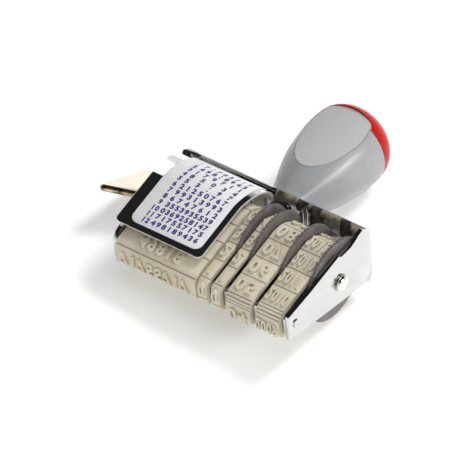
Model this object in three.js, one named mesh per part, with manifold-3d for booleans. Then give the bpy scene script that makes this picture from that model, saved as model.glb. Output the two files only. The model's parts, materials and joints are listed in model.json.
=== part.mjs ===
// Self-standing rotary band dater: a chrome sheet frame, four date wheels and a phrase wheel on one rod,
// five rubber bands that run over a type bar, an index plate with its label, and a plastic handle.
//
// It is modelled upright around the rod, in millimetres: +X along the rod, +Y to the rear, +Z up.
// The whole stamp is then laid on its back, resting on one thumb disc, the phrase band and the handle.

import * as THREE from 'three';
import { mergeVertices } from 'three/addons/utils/BufferGeometryUtils.js';
import Module from 'manifold-3d';

const wasm = await Module();
wasm.setup();

// ---- driving dimensions ----

const SHEET = 1.2;                    // frame sheet thickness
const CHEEK_LEFT = -28.7;             // outer face of the left cheek
const TOP_LEFT = -32.0;               // outer face of the left cheek just under the top plate
const JOGGLE_Z = [6.0, 12.0];         // the left cheek steps inwards between these heights
const CHEEK_RIGHT = 31.0;             // outer face of the right cheek
const TOP_Z = 15.2;                   // upper face of the top plate
const BEND_RADIUS = 1.8;              // outer radius of the two bends
const FRAME_BOTTOM = -23.4;           // lower end of the right cheek
const LEFT_BOTTOM = -22.0;            // lower end of the left cheek

const ROD_RADIUS = 1.75;              // the rod that every wheel turns on
const BORE_RADIUS = 1.81;             // running bore on the rod
const ROD_LEFT = -32.2;

const DRUM_RADIUS = 7.6;              // wheel drums, just inside the bands
const DISC_RADIUS = 12.25;            // thumb discs, tip of the knurl
const KNURL_DEPTH = 0.32;
const KNURL_TEETH = 60;

const BELT_RADIUS = 7.8;              // inner face of a band round its drum
const TYPE_EDGE_Y = 2.0;              // centres of the type bar's two rounded edges
const TYPE_EDGE_Z = -21.2;
const TYPE_EDGE_RADIUS = 0.9;         // inner face of a band round each edge
const BELT_THICKNESS = 1.0;
const PAD_HEIGHT = 1.5;               // top of a cell's pad above the band's inner face
const TYPE_HEIGHT = 2.2;              // top of the raised characters above the same face
const CELL_PITCH = 6.4;
const CELL_COUNT = 12;
const TYPE_LENGTH = 3.9;              // height of the characters, along the band
const RIB_HEIGHT = 1.45;
const RIB_COUNT = 3;

// each band: its left and right edge, where the cell above the printing cell starts, the length of
// the ribbed stretch between the two, and the thumb disc beside its drum
const PHRASE_BAND = { name: 'phrase', left: -27.1, right: 0.2, start: 3.2, ribs: 0 };
const DATE_BANDS = [
  { name: 'day_tens', left: 0.85, right: 3.95, start: 4.6, ribs: 0, disc: [4.1, 5.1] },
  { name: 'day_units', left: 5.3, right: 8.4, start: 4.3, ribs: 0, disc: [8.6, 9.65] },
  { name: 'month', left: 10.0, right: 18.35, start: 4.0, ribs: 2.6, disc: [18.55, 19.65] },
  { name: 'year', left: 19.95, right: 27.85, start: 5.0, ribs: 2.6, disc: [28.05, 29.15] },
];

const PLATE_THICKNESS = 0.6;          // index plate
const PLATE_LEFT = -30.1;             // its wing beside the label
const PLATE_UPPER_LEFT = -30.6;       // its ear above the wing
const PLATE_RIGHT = -1.0;
const WING_GAP_Z = [-1.75, 5.0];      // the gap between the wing and the ear
const LABEL_LEFT = -26.3;
const LABEL_RIGHT = -2.9;
const LABEL_THICKNESS = 0.15;

const HANDLE_X = 0.3;                 // handle axis
const PANEL_DEPTH = 6.2;              // distance of the two panels from the axis, carried down to z = 0
const PANEL_SLOPE = 0.098;            // growth of that distance for each millimetre up
const PANEL_CROWN_RADIUS = 30;        // the panels are very slightly crowned across
const CAP_Z = 46.0;                   // lower edge of the cap at the sides
const ARCH_Z = 49.3;                  // top of the panels, where the cap arches over them
const ARCH_HALF_WIDTH = 8.0;

const KNOB_ANGLE = 24;                // thumb-turn blade, degrees from straight down towards the front
const KNOB_THICKNESS = 2.0;

const REST_PITCH = 0.12;              // degrees: how much the stamp tips up towards its cap at rest

// ---- materials ----

const chrome = new THREE.MeshStandardMaterial({ color: 0xd6d8da, metalness: 1, roughness: 0.12 });
const steel = new THREE.MeshStandardMaterial({ color: 0xa9abad, metalness: 1, roughness: 0.3 });
const rubber = new THREE.MeshStandardMaterial({ color: 0xcdc6b0, metalness: 0, roughness: 0.75 });
const wheelPlastic = new THREE.MeshStandardMaterial({ color: 0x5a5350, metalness: 0, roughness: 0.6 });
const labelPaper = new THREE.MeshStandardMaterial({ color: 0xdcdcde, metalness: 0, roughness: 0.5 });
const handlePlastic = new THREE.MeshStandardMaterial({ color: 0x9c9da0, metalness: 0, roughness: 0.35 });
const capPlastic = new THREE.MeshStandardMaterial({ color: 0xc01c14, metalness: 0, roughness: 0.25 });

// ---- solids ----

const solid = (geometry) => {
  geometry.deleteAttribute('normal');
  geometry.deleteAttribute('uv');
  const merged = mergeVertices(geometry, 1e-5);
  const mesh = new wasm.Mesh({
    numProp: 3,
    vertProperties: new Float32Array(merged.attributes.position.array),
    triVerts: new Uint32Array(merged.index.array),
  });
  return new wasm.Manifold(mesh);
};

const geometryOf = (manifold) => {
  const mesh = manifold.getMesh();
  const geometry = new THREE.BufferGeometry();
  geometry.setAttribute('position', new THREE.BufferAttribute(mesh.vertProperties, 3));
  geometry.setIndex(new THREE.BufferAttribute(mesh.triVerts, 1));
  geometry.computeVertexNormals();
  return geometry;
};

const extruded = (points, depth) => {
  const shape = new THREE.Shape(points.map(([a, b]) => new THREE.Vector2(a, b)));
  return new THREE.ExtrudeGeometry(shape, { depth, bevelEnabled: false, steps: 1 });
};

// points are (y, z)
const prismX = (points, x0, x1) => {
  const geometry = extruded(points, x1 - x0);
  const basis = new THREE.Matrix4().makeBasis(
    new THREE.Vector3(0, 1, 0), new THREE.Vector3(0, 0, 1), new THREE.Vector3(1, 0, 0));
  geometry.applyMatrix4(basis);
  geometry.translate(x0, 0, 0);
  return solid(geometry);
};

// points are (x, z)
const prismY = (points, y0, y1) => {
  const geometry = extruded(points, y1 - y0);
  const basis = new THREE.Matrix4().makeBasis(
    new THREE.Vector3(1, 0, 0), new THREE.Vector3(0, 0, 1), new THREE.Vector3(0, -1, 0));
  geometry.applyMatrix4(basis);
  geometry.translate(0, y1, 0);
  return solid(geometry);
};

const box = (x0, x1, y0, y1, z0, z1) => {
  const geometry = new THREE.BoxGeometry(x1 - x0, y1 - y0, z1 - z0);
  geometry.translate((x0 + x1) / 2, (y0 + y1) / 2, (z0 + z1) / 2);
  return solid(geometry);
};

const circle = (radius, sides, y = 0, z = 0) => {
  const points = [];
  for (let i = 0; i < sides; i += 1) {
    const angle = (2 * Math.PI * i) / sides;
    points.push([y + radius * Math.cos(angle), z + radius * Math.sin(angle)]);
  }
  return points;
};

const rodX = (radius, x0, x1, sides = 32) => prismX(circle(radius, sides), x0, x1);

const rodZ = (radius, x, y, z0, z1, sides = 24) => {
  const geometry = new THREE.CylinderGeometry(radius, radius, z1 - z0, sides);
  geometry.rotateX(Math.PI / 2);
  geometry.translate(x, y, (z0 + z1) / 2);
  return solid(geometry);
};

// a solid of revolution about the vertical through (x, y); the profile is (radius, z), upwards
const turnedZ = (profile, x, y, sides) => {
  const geometry = new THREE.LatheGeometry(profile.map(([r, z]) => new THREE.Vector2(r, z)), sides);
  geometry.rotateX(Math.PI / 2);
  geometry.translate(x, y, 0);
  return solid(geometry);
};

// the same about the rod's axis; profile is (radius, x), with x falling
const turnedX = (profile, sides) => {
  const geometry = new THREE.LatheGeometry(profile.map(([r, x]) => new THREE.Vector2(r, -x)), sides);
  geometry.rotateZ(Math.PI / 2);
  return solid(geometry);
};

// ---- one band's path: bottom centre, front edge, front run, drum, rear run, rear edge ----

const edgeReach = Math.hypot(TYPE_EDGE_Y, TYPE_EDGE_Z);
const runTilt = Math.asin((BELT_RADIUS - TYPE_EDGE_RADIUS) / edgeReach)
  - Math.atan2(TYPE_EDGE_Y, -TYPE_EDGE_Z);
const runLength = Math.sqrt(edgeReach ** 2 - (BELT_RADIUS - TYPE_EDGE_RADIUS) ** 2);
const edgeTurn = Math.PI / 2 - runTilt;
const drumTurn = Math.PI + 2 * runTilt;
const edgeArc = (TYPE_EDGE_RADIUS + BELT_THICKNESS) * edgeTurn;
const drumArc = (BELT_RADIUS + BELT_THICKNESS) * drumTurn;
const beltLength = 2 * TYPE_EDGE_Y + 2 * edgeArc + 2 * runLength + drumArc;

const arcPoint = (cy, cz, radius, angle, height) => [
  cy + (radius + height) * Math.cos(angle),
  cz + (radius + height) * Math.sin(angle),
];

// the (y, z) point at length s along the band's outer face, raised to height above its inner face
const beltPoint = (s, height) => {
  let left = ((s % beltLength) + beltLength) % beltLength;
  if (left <= TYPE_EDGE_Y) {
    return [-left, TYPE_EDGE_Z - TYPE_EDGE_RADIUS - height];
  }
  left -= TYPE_EDGE_Y;
  if (left <= edgeArc) {
    const angle = -Math.PI / 2 - (left / edgeArc) * edgeTurn;
    return arcPoint(-TYPE_EDGE_Y, TYPE_EDGE_Z, TYPE_EDGE_RADIUS, angle, height);
  }
  left -= edgeArc;
  const frontAngle = Math.PI + runTilt;
  if (left <= runLength) {
    const [y, z] = arcPoint(-TYPE_EDGE_Y, TYPE_EDGE_Z, TYPE_EDGE_RADIUS, frontAngle, height);
    return [y - left * Math.sin(runTilt), z + left * Math.cos(runTilt)];
  }
  left -= runLength;
  if (left <= drumArc) {
    const angle = frontAngle - (left / drumArc) * drumTurn;
    return arcPoint(0, 0, BELT_RADIUS, angle, height);
  }
  left -= drumArc;
  if (left <= runLength) {
    const [y, z] = arcPoint(0, 0, BELT_RADIUS, -runTilt, height);
    return [y - left * Math.sin(runTilt), z - left * Math.cos(runTilt)];
  }
  left -= runLength;
  if (left <= edgeArc) {
    const angle = -runTilt - (left / edgeArc) * edgeTurn;
    return arcPoint(TYPE_EDGE_Y, TYPE_EDGE_Z, TYPE_EDGE_RADIUS, angle, height);
  }
  left -= edgeArc;
  return [TYPE_EDGE_Y - left, TYPE_EDGE_Z - TYPE_EDGE_RADIUS - height];
};

// places along the band where its direction starts or stops changing, and steps round each curve
const beltStations = () => {
  const stations = [];
  const curve = (start, length, turn) => {
    const steps = Math.ceil(turn / (12 * Math.PI / 180));
    for (let i = 0; i <= steps; i += 1) {
      stations.push(start + (length * i) / steps);
    }
  };
  const frontRun = TYPE_EDGE_Y + edgeArc;
  const drum = frontRun + runLength;
  const rearEdge = drum + drumArc + runLength;
  curve(TYPE_EDGE_Y, edgeArc, edgeTurn);
  curve(drum, drumArc, drumTurn);
  curve(rearEdge, edgeArc, edgeTurn);
  return stations;
};

// raised stretches of a band: [start, end, height]; ribs fill the lengths that no cell takes
const raisedStretches = ({ start, ribs }) => {
  const stretches = [];
  const padHalf = CELL_PITCH / 2 - 0.25;
  for (let i = 0; i < CELL_COUNT; i += 1) {
    const centre = start + (i - 0.5) * CELL_PITCH - (i === 0 ? ribs : 0);
    stretches.push([centre - padHalf, centre - TYPE_LENGTH / 2, PAD_HEIGHT]);
    stretches.push([centre - TYPE_LENGTH / 2, centre + TYPE_LENGTH / 2, TYPE_HEIGHT]);
    stretches.push([centre + TYPE_LENGTH / 2, centre + padHalf, PAD_HEIGHT]);
  }
  const addRibs = (from, length) => {
    for (let i = 0; i < RIB_COUNT && length > 0; i += 1) {
      const centre = from + (length * (i + 0.5)) / RIB_COUNT;
      const half = (0.3 * length) / RIB_COUNT;
      stretches.push([centre - half, centre + half, RIB_HEIGHT]);
    }
  };
  addRibs(start - ribs, ribs);
  addRibs(start + (CELL_COUNT - 1) * CELL_PITCH, beltLength - CELL_COUNT * CELL_PITCH - ribs);
  return stretches;
};

const bandOutline = (band) => {
  const stretches = raisedStretches(band);
  const heightAt = (s) => {
    const found = stretches.find(([a, b]) => {
      const inside = (t) => t > a + 1e-6 && t < b - 1e-6;
      return inside(s) || inside(s - beltLength) || inside(s + beltLength);
    });
    return found ? found[2] : BELT_THICKNESS;
  };
  const wrap = (s) => ((s % beltLength) + beltLength) % beltLength;
  const marks = [...beltStations(), ...stretches.flatMap(([a, b]) => [a, b])].map(wrap);
  marks.sort((a, b) => a - b);
  const places = marks.filter((s, i) => i === 0 || s - marks[i - 1] > 0.02);
  const outer = [];
  places.forEach((s, i) => {
    const before = (s + places[(i + places.length - 1) % places.length] - (i === 0 ? beltLength : 0)) / 2;
    const after = (s + places[(i + 1) % places.length] + (i === places.length - 1 ? beltLength : 0)) / 2;
    const heights = [heightAt(wrap(before)), heightAt(wrap(after))];
    outer.push(beltPoint(s, heights[0]));
    if (Math.abs(heights[0] - heights[1]) > 1e-6) {
      outer.push(beltPoint(s, heights[1]));
    }
  });
  return outer;
};

const bandInner = beltStations().map((s) => beltPoint(s, 0));

const bandSolid = (band) => {
  const outer = prismX(bandOutline(band), band.left, band.right);
  return outer.subtract(prismX(bandInner, band.left - 1, band.right + 1));
};

// ---- frame ----

const rightCheekOutline = [
  [-7.0, TOP_Z], [-11.0, 10.4], [-10.4, 8.6], [-9.3, 6.5], [-8.8, 4.5], [-8.8, 0.6], [-9.7, -0.5],
  [-6.9, -13.8], [-5.4, FRAME_BOTTOM], [2.6, FRAME_BOTTOM],
  [7.6, 5.9], [7.6, 8.4], [9.2, 12.7], [5.6, TOP_Z],
];

const leftCheekOutline = [
  [-7.0, TOP_Z], [-7.0, 13.9], [-6.0, 12.9], [-6.0, 11.5],
  [-8.2, 8.0], [-8.8, 4.5], [-8.8, 0.6], [-9.4, -0.5],
  [-6.9, -13.8], [-5.7, -19.0], [-4.9, -20.8], [-3.4, LEFT_BOTTOM], [3.3, LEFT_BOTTOM],
  [7.6, 5.9], [7.6, 8.4], [9.2, 12.7], [5.6, TOP_Z],
];

// the bent sheet's section in (x, z): an upside-down U
const frameSection = () => {
  const points = [];
  const corner = (cx, radius, from, to) => {
    for (let i = 0; i <= 5; i += 1) {
      const angle = (from + ((to - from) * i) / 5) * (Math.PI / 180);
      points.push([cx + radius * Math.cos(angle), TOP_Z - BEND_RADIUS + radius * Math.sin(angle)]);
    }
  };
  const leftCentre = TOP_LEFT + BEND_RADIUS;
  const rightCentre = CHEEK_RIGHT - BEND_RADIUS;
  const innerRadius = BEND_RADIUS - SHEET;
  const [joggleFoot, joggleTop] = JOGGLE_Z;
  const joggleMitre = SHEET * Math.tan(Math.atan2(CHEEK_LEFT - TOP_LEFT, joggleTop - joggleFoot) / 2);
  points.push([CHEEK_RIGHT, FRAME_BOTTOM]);
  corner(rightCentre, BEND_RADIUS, 0, 90);
  corner(leftCentre, BEND_RADIUS, 90, 180);
  points.push([TOP_LEFT, joggleTop]);
  points.push([CHEEK_LEFT, joggleFoot]);
  points.push([CHEEK_LEFT, FRAME_BOTTOM]);
  points.push([CHEEK_LEFT + SHEET, FRAME_BOTTOM]);
  points.push([CHEEK_LEFT + SHEET, joggleFoot + joggleMitre]);
  points.push([TOP_LEFT + SHEET, joggleTop + joggleMitre]);
  corner(leftCentre, innerRadius, 180, 90);
  corner(rightCentre, innerRadius, 90, 0);
  points.push([CHEEK_RIGHT - SHEET, FRAME_BOTTOM]);
  return points;
};

// a tab at each end of the type bar goes through the cheek and is staked over
const TAB_Y = -1.6;
const TAB_HALF = 1.0;
const TAB_Z = [-21.3, -19.9];

const RIVET_X = [-21, -9];
const RIVET_Y = 0.4;

const tabs = (grow) => box(
  CHEEK_LEFT - 0.35 - grow * 3, CHEEK_RIGHT + 0.35 + grow * 3,
  TAB_Y - TAB_HALF - grow, TAB_Y + TAB_HALF + grow,
  TAB_Z[0] - grow, TAB_Z[1] + grow);

const frameSolid = () => {
  const section = prismY(frameSection(), -12, 10);
  const left = prismX(leftCheekOutline, TOP_LEFT - 1, CHEEK_LEFT + BEND_RADIUS);
  const right = prismX(rightCheekOutline, CHEEK_LEFT + BEND_RADIUS, CHEEK_RIGHT + 1);
  let frame = section.intersect(left.add(right));
  frame = frame.subtract(rodX(BORE_RADIUS, CHEEK_LEFT - 2, CHEEK_RIGHT + 2));
  frame = frame.subtract(tabs(0.1));
  frame = frame.subtract(rodZ(2.15, HANDLE_X, 0, 10, 20));
  RIVET_X.forEach((x) => {
    frame = frame.subtract(rodZ(1.05, x, RIVET_Y, 10, 20, 16));
  });
  return frame;
};

// a folded channel, open upwards
const typeBarSolid = () => {
  const radius = TYPE_EDGE_RADIUS - 0.1;
  const points = [];
  for (let i = 0; i <= 4; i += 1) {
    const angle = Math.PI + (i / 4) * (Math.PI / 2);
    points.push([-TYPE_EDGE_Y + radius * Math.cos(angle), TYPE_EDGE_Z + radius * Math.sin(angle)]);
  }
  for (let i = 0; i <= 4; i += 1) {
    const angle = 1.5 * Math.PI + (i / 4) * (Math.PI / 2);
    points.push([TYPE_EDGE_Y + radius * Math.cos(angle), TYPE_EDGE_Z + radius * Math.sin(angle)]);
  }
  points.push([2.4, -16.2]);
  points.push([-2.4, -16.2]);
  let bar = prismX(points, CHEEK_LEFT + SHEET + 0.1, CHEEK_RIGHT - SHEET - 0.1);
  const end = CHEEK_LEFT + SHEET + 3;
  bar = bar.subtract(box(end, CHEEK_RIGHT - SHEET - 3, -1.3, 1.3, TYPE_EDGE_Z + 0.6, -15));
  return bar.add(tabs(0));
};

// ---- rod, wheels, thumb-turn ----

const knobAngle = KNOB_ANGLE * (Math.PI / 180);
const bladeDown = new THREE.Vector3(0, -Math.sin(knobAngle), -Math.cos(knobAngle));
const bladeNormal = new THREE.Vector3(1, 0, 0).cross(bladeDown);
const KNOB_PIN_X = -31.0;
const DRUM_PIN_X = -4.0;

// a round pin across the rod's axis at x, from a to b along direction
const crossPin = (x, direction, radius, a, b) => {
  const geometry = new THREE.CylinderGeometry(radius, radius, b - a, 16);
  geometry.translate(0, (a + b) / 2, 0);
  const turn = new THREE.Quaternion().setFromUnitVectors(new THREE.Vector3(0, 1, 0), direction);
  geometry.applyQuaternion(turn);
  geometry.translate(x, 0, 0);
  return solid(geometry);
};

const rodSolid = () => {
  const profile = [[0, 32.5], [0.9, 32.42], [1.7, 32.15], [2.3, 31.65], [2.45, 31.15], [0, 31.15]];
  const head = turnedX(profile, 32);
  let rod = rodX(ROD_RADIUS, ROD_LEFT, 31.4).add(head);
  rod = rod.subtract(crossPin(KNOB_PIN_X, bladeNormal, 0.65, -4, 4));
  rod = rod.subtract(crossPin(DRUM_PIN_X, bladeDown, 0.65, -4, 4));
  return rod;
};

const knurledOutline = () => {
  const points = [];
  for (let i = 0; i < KNURL_TEETH; i += 1) {
    const step = (2 * Math.PI) / KNURL_TEETH;
    const angle = i * step;
    points.push([DISC_RADIUS * Math.cos(angle), DISC_RADIUS * Math.sin(angle)]);
    const root = DISC_RADIUS - KNURL_DEPTH;
    points.push([root * Math.cos(angle + step / 2), root * Math.sin(angle + step / 2)]);
  }
  return points;
};

const wheelSolid = ({ left, disc }) => {
  const drum = rodX(DRUM_RADIUS, left, disc[0] + 0.4, 48);
  const rim = prismX(knurledOutline(), disc[0], disc[1]);
  return drum.add(rim).subtract(rodX(BORE_RADIUS, left - 1, disc[1] + 1));
};

const phraseDrumSolid = () => {
  const { left, right } = PHRASE_BAND;
  const drum = rodX(DRUM_RADIUS, left + 0.1, right - 0.1, 48);
  const bored = drum.subtract(rodX(BORE_RADIUS, left - 1, right + 1));
  return bored.subtract(crossPin(DRUM_PIN_X, bladeDown, 0.66, -2.4, DRUM_RADIUS + 1));
};

const knobSolid = () => {
  const outline = [
    [-31.4, 1.6], [-43.3, 9.2], [-44.1, 9.1], [-44.5, 8.4],
    [-44.5, -12.6], [-44.1, -13.3], [-43.3, -13.4], [-31.4, -2.6],
  ];
  const geometry = extruded(outline, KNOB_THICKNESS);
  geometry.translate(0, 0, -KNOB_THICKNESS / 2);
  const basis = new THREE.Matrix4().makeBasis(new THREE.Vector3(1, 0, 0), bladeDown, bladeNormal);
  geometry.applyMatrix4(basis);
  const hub = rodX(3.2, -32.9, CHEEK_LEFT - 0.6);
  let knob = hub.add(solid(geometry));
  knob = knob.subtract(rodX(BORE_RADIUS, ROD_LEFT - 0.15, CHEEK_LEFT));
  knob = knob.subtract(crossPin(KNOB_PIN_X, bladeNormal, 0.66, -4, 4));
  return knob;
};

const ring = (outer, inner, x0, x1) => rodX(outer, x0, x1).subtract(rodX(inner, x0 - 1, x1 + 1));

// ---- index plate and label ----

// the plate's outer face in (y, z), from its lower edge up and back under the top plate
const platePath = [
  [-7.35, -19.3], [-11.5, -2.2], [-11.75, -0.6], [-11.75, 1.2], [-11.55, 3.2], [-11.1, 5.4],
  [-10.35, 7.9], [-9.1, 10.3], [-7.9, 11.9], [-6.6, 13.1], [-5.6, 13.7], [-4.9, 13.85], [3.8, 13.85],
];

// offsets a path to its left, keeping each corner's mitre
const offsetPath = (path, distance) => path.map((point, i) => {
  const before = path[Math.max(i - 1, 0)];
  const after = path[Math.min(i + 1, path.length - 1)];
  const normal = (a, b) => {
    const length = Math.hypot(b[0] - a[0], b[1] - a[1]);
    return [-(b[1] - a[1]) / length, (b[0] - a[0]) / length];
  };
  const first = i === 0 ? normal(point, after) : normal(before, point);
  const second = i === path.length - 1 ? normal(before, point) : normal(point, after);
  const sum = [first[0] + second[0], first[1] + second[1]];
  const scale = (2 * distance) / (sum[0] ** 2 + sum[1] ** 2);
  return [point[0] + sum[0] * scale, point[1] + sum[1] * scale];
});

const roundedCorner = (x, z, sideX, radius) => {
  const points = [[x - sideX, z - 1]];
  points.push([x - sideX, z + radius]);
  for (let i = 0; i <= 5; i += 1) {
    const angle = (i / 5) * (Math.PI / 2);
    const cx = x + sideX * radius;
    points.push([cx - sideX * radius * Math.cos(angle), z + radius - radius * Math.sin(angle)]);
  }
  points.push([x + sideX * radius, z - 1]);
  return sideX > 0 ? points : points.reverse();
};

const cutCorners = (body, left, right, bottom, radius) => {
  const leftCut = prismY(roundedCorner(left, bottom, 1, radius), -14, 0);
  const rightCut = prismY(roundedCorner(right, bottom, -1, radius), -14, 0);
  return body.subtract(leftCut).subtract(rightCut);
};

const indexPlateSolid = () => {
  const outline = [...platePath, ...offsetPath(platePath, -PLATE_THICKNESS).reverse()].reverse();
  let plate = prismX(outline, PLATE_UPPER_LEFT, PLATE_RIGHT);
  const [wingTop, earBottom] = WING_GAP_Z;
  plate = plate.subtract(box(PLATE_UPPER_LEFT - 1, PLATE_LEFT, -14, -5, -20, wingTop));
  plate = plate.subtract(box(PLATE_UPPER_LEFT - 1, LABEL_LEFT - 0.2, -14, -5, wingTop, earBottom));
  plate = plate.subtract(box(PLATE_UPPER_LEFT - 1, CHEEK_LEFT + SHEET + 0.3, -6.9, 6, 10, 16));
  plate = plate.subtract(box(HANDLE_X - 4.4, PLATE_RIGHT + 1, -3.4, 6, 12, 16));
  RIVET_X.forEach((x) => {
    plate = plate.subtract(rodZ(1.05, x, RIVET_Y, 10, 20, 16));
  });
  return cutCorners(plate, PLATE_LEFT, PLATE_RIGHT, platePath[0][1] - 0.1, 1.6);
};

const labelSolid = () => {
  const path = platePath.slice(0, 10);
  const [first, second] = path;
  const share = 0.105;
  path[0] = [first[0] + (second[0] - first[0]) * share, first[1] + (second[1] - first[1]) * share];
  const inner = offsetPath(path, 0.03);
  const outer = offsetPath(path, 0.03 + LABEL_THICKNESS);
  const strip = prismX([...inner, ...outer.reverse()], LABEL_LEFT, LABEL_RIGHT);
  return cutCorners(strip, LABEL_LEFT, LABEL_RIGHT, path[0][1], 2.2);
};

const rivetSolid = (x) => {
  const shank = rodZ(1.0, x, RIVET_Y, 12.9, 15.5, 16);
  const upper = turnedZ([[0, 15.25], [1.7, 15.25], [1.5, 15.7], [0.9, 16.0], [0, 16.1]], x, RIVET_Y, 16);
  const lower = turnedZ([[0, 12.5], [1.2, 12.6], [1.5, 13.2], [0, 13.2]], x, RIVET_Y, 16);
  return shank.add(upper).add(lower);
};

// ---- handle ----

const handleProfile = [
  [5.3, 15.3], [5.5, 16.6], [6.0, 18.6], [7.4, 22], [9.1, 26.1], [10.2, 29.2], [11.1, 32.5], [12.0, 37.6],
  [12.4, 41], [12.5, 44], [12.45, CAP_Z],
];

const capProfile = [
  [12.45, CAP_Z], [12.2, 47.9], [11.65, 49.5], [10.8, 50.9],
  [9.5, 52.3], [7.7, 53.4], [5.5, 54.2], [3, 54.7], [0, 54.9],
];

// the arch over a panel in (x, z): a half ellipse that stands on the cap's lower edge
const archOutline = (grow) => {
  const points = [];
  for (let i = 0; i <= 16; i += 1) {
    const angle = (i / 16) * Math.PI;
    const x = HANDLE_X + (ARCH_HALF_WIDTH + grow) * Math.cos(angle);
    points.push([x, CAP_Z + (ARCH_Z - CAP_Z + grow) * Math.sin(angle)]);
  }
  return points;
};

// everything behind the front panel's crowned, sloping surface
const behindPanel = () => {
  const points = [];
  for (let i = -6; i <= 6; i += 1) {
    const x = (i / 6) * 15;
    points.push([x, x ** 2 / (2 * PANEL_CROWN_RADIUS) - PANEL_DEPTH]);
  }
  points.push([15, 20]);
  points.push([-15, 20]);
  const geometry = extruded(points, 60);
  const shear = new THREE.Matrix4().set(1, 0, 0, HANDLE_X, 0, 1, -PANEL_SLOPE, 0, 0, 0, 1, 0, 0, 0, 0, 1);
  geometry.applyMatrix4(shear);
  return solid(geometry);
};

const capFoot = (halfWidth) => [[HANDLE_X - halfWidth, CAP_Z - 1], [HANDLE_X + halfWidth, CAP_Z - 1]];

const handleSolid = () => {
  const turned = turnedZ([[0, 15.3], ...handleProfile, [0, CAP_Z]], HANDLE_X, 0, 64);
  const tongue = prismY([...archOutline(0), ...capFoot(ARCH_HALF_WIDTH)], -13, 13);
  const front = behindPanel();
  const rear = front.translate([-HANDLE_X, 0, 0]).rotate([0, 0, 180]).translate([HANDLE_X, 0, 0]);
  const spigot = rodZ(4.0, HANDLE_X, 0, 40, 52);
  let handle = turned.add(tongue).intersect(front).intersect(rear).add(spigot);
  handle = handle.subtract(rodZ(2.06, HANDLE_X, 0, 10, 36));
  return handle;
};

const capSolid = () => {
  const dome = turnedZ([[0, CAP_Z + 0.08], ...capProfile.map(([r, z]) => [r, z + 0.08])], HANDLE_X, 0, 64);
  const tunnel = prismY([...archOutline(0.12), ...capFoot(ARCH_HALF_WIDTH + 0.12)], -20, 20);
  return dome.subtract(tunnel).subtract(rodZ(4.15, HANDLE_X, 0, 40, 52.3));
};

const screwSolid = () => {
  const shank = rodZ(2.0, HANDLE_X, 0, 13, 35.5);
  const head = turnedZ([[0, 12.4], [2.6, 12.4], [3.0, 12.7], [3.0, 13.45], [0, 13.45]], HANDLE_X, 0, 24);
  return shank.add(head);
};

const screwWasherSolid = () => {
  const disc = rodZ(3.3, HANDLE_X, 0, 13.55, 13.92);
  return disc.subtract(rodZ(2.1, HANDLE_X, 0, 13, 15));
};

// ---- the stamp ----

const stamp = new THREE.Group();

const place = (name, body, material) => {
  const mesh = new THREE.Mesh(geometryOf(body), material);
  mesh.name = name;
  stamp.add(mesh);
};

place('frame_shell', frameSolid(), chrome);
place('type_bar', typeBarSolid(), steel);
place('separator_lug', box(8.95, 9.4, -5.9, 1.0, 12.6, TOP_Z - SHEET - 0.05), chrome);
place('index_plate', indexPlateSolid(), chrome);
place('index_label', labelSolid(), labelPaper);
place('plate_rivet_left', rivetSolid(RIVET_X[0]), steel);
place('plate_rivet_right', rivetSolid(RIVET_X[1]), steel);

place('axle_rod', rodSolid(), chrome);
place('phrase_drum', phraseDrumSolid(), wheelPlastic);
place('phrase_drum_pin', crossPin(DRUM_PIN_X, bladeDown, 0.6, -1.6, DRUM_RADIUS - 0.3), steel);
place('thumb_turn', knobSolid(), chrome);
place('thumb_turn_pin', crossPin(KNOB_PIN_X, bladeNormal, 0.6, -3.3, 3.3), steel);
place('thumb_turn_washer', ring(3.4, BORE_RADIUS + 0.1, CHEEK_LEFT - 0.5, CHEEK_LEFT - 0.1), steel);
const spacerLeft = CHEEK_LEFT + SHEET + 0.15;
place('left_spacer', ring(3.4, BORE_RADIUS + 0.1, spacerLeft, PHRASE_BAND.left - 0.05), steel);
place('right_thrust_washer', ring(3.6, BORE_RADIUS + 0.1, 29.28, 29.65), steel);

DATE_BANDS.forEach((band) => {
  place(`${band.name}_wheel`, wheelSolid(band), wheelPlastic);
});
[PHRASE_BAND, ...DATE_BANDS].forEach((band) => {
  place(`${band.name}_band`, bandSolid(band), rubber);
});

place('handle_body', handleSolid(), handlePlastic);
place('handle_cap', capSolid(), capPlastic);
place('handle_screw', screwSolid(), steel);
place('handle_screw_washer', screwWasherSolid(), steel);

// laid on its back: up the handle becomes +Y, and the front becomes +Z
const lying = new THREE.Group();
stamp.rotation.x = -Math.PI / 2;
const settle = new THREE.Group();
settle.add(stamp);

// it leans until the phrase band's left end and the first thumb disc both touch the table
const bandDepth = Math.max(...bandOutline(PHRASE_BAND).map(([y]) => y));
const restRoll = Math.atan((DISC_RADIUS - bandDepth) / (DATE_BANDS[0].disc[0] - PHRASE_BAND.left));
settle.rotation.set(REST_PITCH * (Math.PI / 180), -restRoll, 0);
lying.add(settle);
lying.updateMatrixWorld(true);

const bounds = new THREE.Box3().setFromObject(lying, true);
settle.position.x -= (bounds.min.x + bounds.max.x) / 2;
settle.position.y -= (bounds.min.y + bounds.max.y) / 2;
settle.position.z -= bounds.min.z;

export default lying;
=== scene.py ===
"""Looks for the rotary date stamp: bands with raised digits, knurled wheels, chrome sheet, label, handle.

Everything is built in the stamp's own upright frame, in millimetres: x along the rod, y to the rear and
z up the handle. The record's first joint and its mount give where that frame lies in the row frame.
"""

import json
import math

import bmesh
import bpy
import numpy as np
from mathutils import Matrix, Vector

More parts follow.
